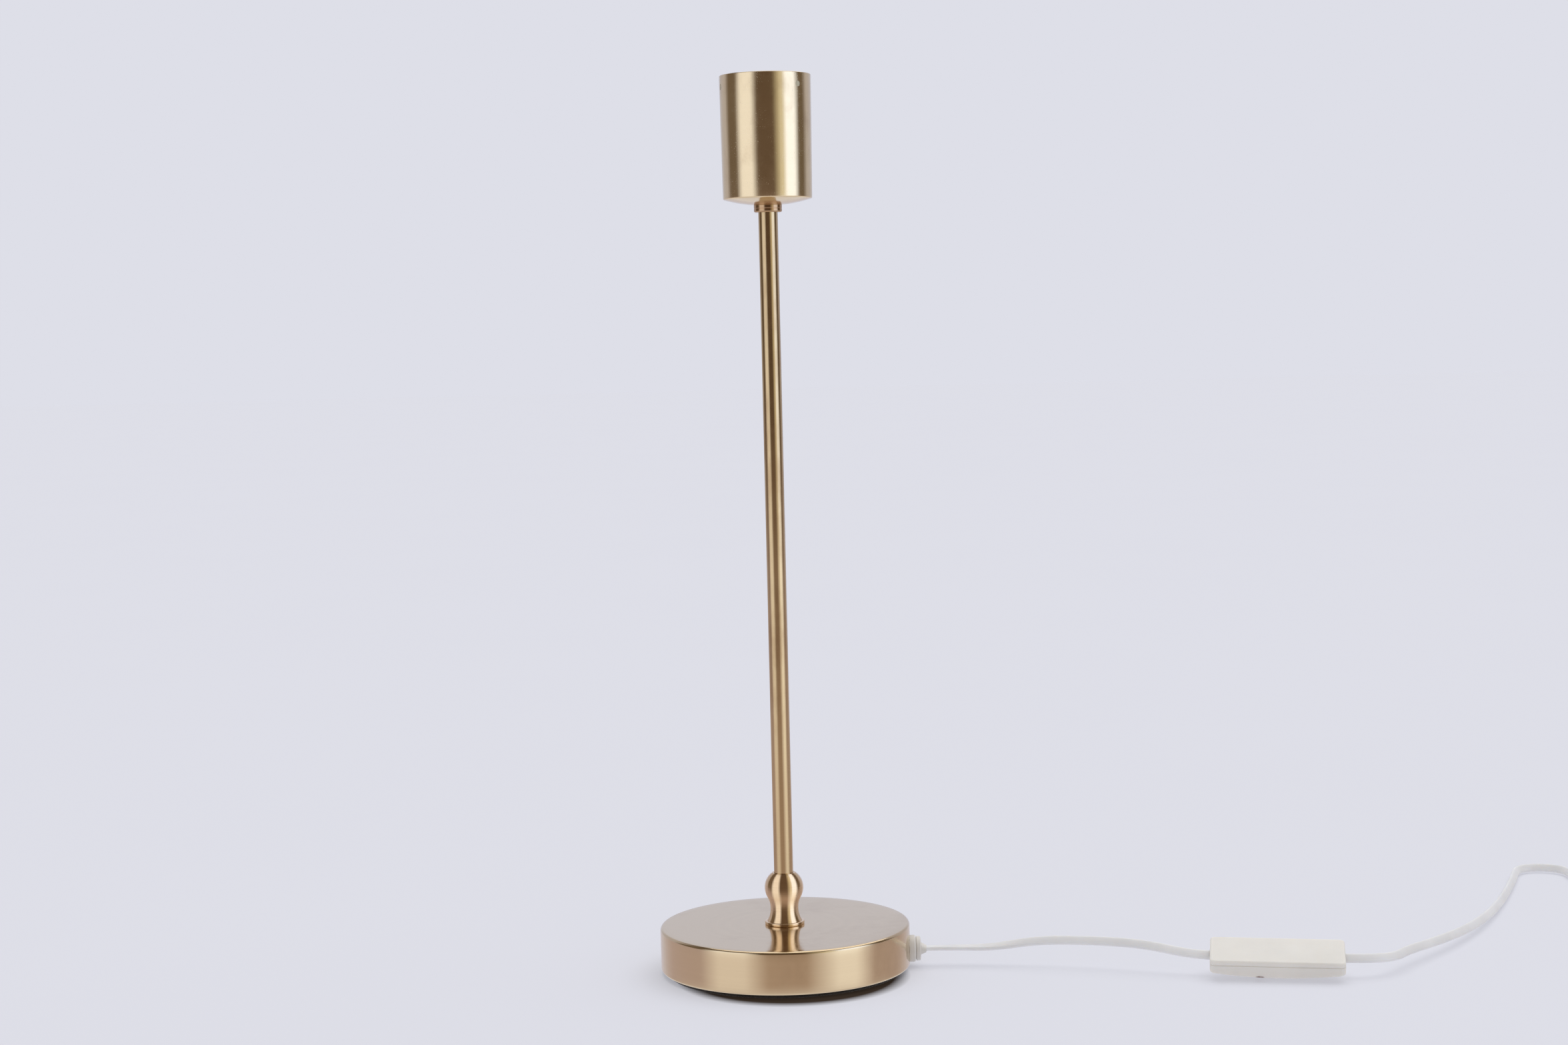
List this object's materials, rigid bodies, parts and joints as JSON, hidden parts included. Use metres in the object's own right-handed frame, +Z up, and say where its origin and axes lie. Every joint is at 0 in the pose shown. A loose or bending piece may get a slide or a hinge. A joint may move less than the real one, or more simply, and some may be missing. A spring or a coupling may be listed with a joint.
{
  "type": "candle lamp",
  "caption": "Brass stick lamp on a round weighted foot, with an open cup holding a screw lampholder, a corded in-line rocker switch and a flat two-pin plug.",
  "frame": {"origin": "on the standing surface, under the stem's axis", "axes": "+Z up the stem, +X from the stem towards the cord's gland, +Y away from the viewer"},
  "size_m": [0.6544, 0.327, 0.4632],
  "materials": {
    "polished_brass": "polished, clear lacquer",
    "dark_brass": "polished, warmer and darker, turned",
    "contact_brass": "plain rolled",
    "weight_iron": "rough cast, blackened",
    "plate_steel": "matt black paint",
    "zinc_steel": "zinc plated",
    "nickel": "bright nickel plate",
    "felt": "olive brown pressed felt",
    "ivory_plastic": "moulded, fine satin",
    "cord_plastic": "soft sheath, satin",
    "holder_plastic": "moulded, black"
  },
  "bodies": {
    "lamp": {"base_cover": "polished_brass", "base_weight": "weight_iron", "bottom_plate": "plate_steel", "foot_pad": "felt", "base_washer": "zinc_steel", "base_nut": "zinc_steel", "stem_tube": "polished_brass", "baluster": "dark_brass", "collar": "polished_brass", "socket_cup": "polished_brass", "cup_grub_screws": "zinc_steel", "cup_washer": "zinc_steel", "cup_nut": "zinc_steel", "holder_cap": "holder_plastic", "holder_sleeve": "holder_plastic", "screw_shell": "nickel", "contact_carrier": "holder_plastic", "contact_root": "contact_brass", "side_contact": "contact_brass", "terminals": "contact_brass", "terminal_screws": "zinc_steel", "cord_gland": "ivory_plastic", "gland_cap": "ivory_plastic", "gland_nut": "ivory_plastic", "cord_clip": "ivory_plastic", "clip_screws": "zinc_steel", "cord_to_switch": "cord_plastic", "cord_to_coil": "cord_plastic", "cord_coil": "cord_plastic", "inner_cord": "cord_plastic", "holder_leads": "cord_plastic", "switch_back_cover": "ivory_plastic", "switch_front_cover": "ivory_plastic", "rocker_pin": "zinc_steel", "switch_contacts": "contact_brass", "plug_relief": "ivory_plastic", "plug_body": "ivory_plastic", "plug_pins": "nickel", "pin_sleeves": "ivory_plastic"},
    "rocker": {"switch_rocker": "ivory_plastic", "switch_bridge": "contact_brass"},
    "tongue": {"contact_tongue": "contact_brass"}
  },
  "joints": [
    {"name": "switch_rocker_tilt", "type": "hinge", "parent": "lamp", "child": "rocker", "pos_m": [0.24956, -0.04095, 0.00686], "axis": [0.1669, 0.9335, 0.3173], "range_deg": [0, 10]},
    {"name": "centre_contact_spring", "type": "hinge", "parent": "lamp", "child": "tongue", "pos_m": [-0.0065, 0, 0.42705], "axis": [0, 1, 0], "range_deg": [0, 12], "stiffness_Nm_per_rad": 0.05, "springref_deg": -1.72}
  ]
}
